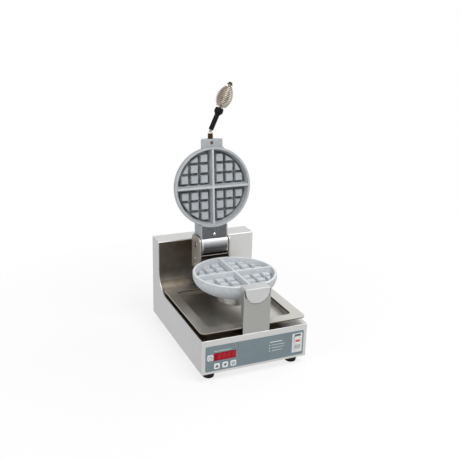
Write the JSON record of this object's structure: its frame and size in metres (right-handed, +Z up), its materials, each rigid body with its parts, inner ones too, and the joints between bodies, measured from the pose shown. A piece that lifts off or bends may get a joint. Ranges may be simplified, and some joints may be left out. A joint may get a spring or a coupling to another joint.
{
  "type": "belgian waffle maker",
  "caption": "Countertop Belgian waffle baker with an open hinged lid, round pegged grids on a turning yoke, coil-grip handle, drip tray and control panel on a steel base.",
  "frame": {"origin": "on the counter, under the middle of the object's bounding box", "axes": "+X to the right seen from the front, +Y towards the back, +Z up"},
  "size_m": [0.254, 0.3636, 0.6073],
  "materials": {
    "panel_steel": "satin stainless sheet",
    "brushed_steel": "brushed stainless sheet",
    "yoke_steel": "heat-tinted brushed steel",
    "bright_steel": "polished steel",
    "screws": "bright zinc",
    "black_rubber": "black rubber",
    "grid_casting": "as-cast aluminium with release coating",
    "housing_casting": "grey iron",
    "bronze": "dull brass and bronze",
    "overlay_film": "slate blue-grey film",
    "red_filter": "deep red filter",
    "board": "green board",
    "spacer_nylon": "white nylon",
    "key_white": "off-white",
    "bezel_grey": "light grey",
    "black_plastic": "black",
    "cover_dark": "dark grey hammered paint",
    "heater_mica": "mica band",
    "coil_nickel": "warm nickel"
  },
  "bodies": {
    "base": {"side_panel_left": "panel_steel", "side_panel_right": "panel_steel", "deck_splash": "brushed_steel", "bottom_pan": "panel_steel", "rear_cover": "panel_steel", "rear_screws": "screws", "feet": "black_rubber", "foot_screws": "screws", "front_panel": "panel_steel", "control_overlay": "overlay_film", "display_window": "red_filter", "indicator_led": "red_filter", "control_board": "board", "board_spacers": "spacer_nylon", "switch_bezel": "bezel_grey", "cord_gland": "black_plastic", "front_cradle": "brushed_steel", "cradle_screws": "screws", "bearing_housing": "housing_casting", "bearing_bush": "bronze", "bearing_nuts": "screws"},
    "drip_tray": {"drip_tray": "brushed_steel"},
    "rotor": {"rotor_shaft": "bright_steel", "shaft_ring": "bright_steel", "yoke_bracket": "yoke_steel", "yoke_strip": "brushed_steel", "hinge_pin": "bright_steel", "lower_casting": "grid_casting", "yoke_screws": "screws", "lower_heater": "heater_mica", "lower_heater_can": "bright_steel"},
    "lid": {"upper_casting": "grid_casting", "neck_cover": "cover_dark", "neck_cover_screw": "screws", "hinge_drum": "bright_steel", "drum_cap_left": "bright_steel", "drum_cap_right": "bright_steel", "upper_heater": "heater_mica", "upper_heater_can": "bright_steel", "handle_stub": "bronze", "handle_collar": "bright_steel", "handle_rod": "bright_steel", "tab_screw": "bronze", "handle_sleeve": "black_plastic", "handle_ferrule": "black_plastic", "coil_grip": "coil_nickel", "grip_nut": "bronze"},
    "switch_rocker": {"switch_rocker": "key_white"},
    "key_timer": {"key_timer": "key_white"},
    "key_down": {"key_down": "key_white"},
    "key_up": {"key_up": "key_white"},
    "key_menu": {"key_menu": "key_white"}
  },
  "joints": [
    {"name": "lid_hinge", "type": "hinge", "parent": "rotor", "child": "lid", "pos_m": [0, 0.092, 0.2172], "axis": [1, 0, 0], "range_deg": [0, 95]},
    {"name": "grill_turn", "type": "hinge", "parent": "base", "child": "rotor", "pos_m": [0, 0, 0.1972], "axis": [0, 1, 0], "range_deg": [-45, 45]},
    {"name": "tray_slide", "type": "slide", "parent": "base", "child": "drip_tray", "axis": [1, 0, 0], "range_m": [0, 0.27]},
    {"name": "power_rocker", "type": "hinge", "parent": "base", "child": "switch_rocker", "pos_m": [0.1027, -0.175, 0.0557], "axis": [-1, 0, 0], "range_deg": [0, 16]},
    {"name": "key_timer_press", "type": "slide", "parent": "base", "child": "key_timer", "axis": [0, 1, 0], "range_m": [0, 0.0006], "stiffness_N_per_m": 800, "springref_m": -0.0006},
    {"name": "key_down_press", "type": "slide", "parent": "base", "child": "key_down", "axis": [0, 1, 0], "range_m": [0, 0.0006], "stiffness_N_per_m": 800, "springref_m": -0.0006},
    {"name": "key_up_press", "type": "slide", "parent": "base", "child": "key_up", "axis": [0, 1, 0], "range_m": [0, 0.0006], "stiffness_N_per_m": 800, "springref_m": -0.0006},
    {"name": "key_menu_press", "type": "slide", "parent": "base", "child": "key_menu", "axis": [0, 1, 0], "range_m": [0, 0.0006], "stiffness_N_per_m": 800, "springref_m": -0.0006}
  ]
}
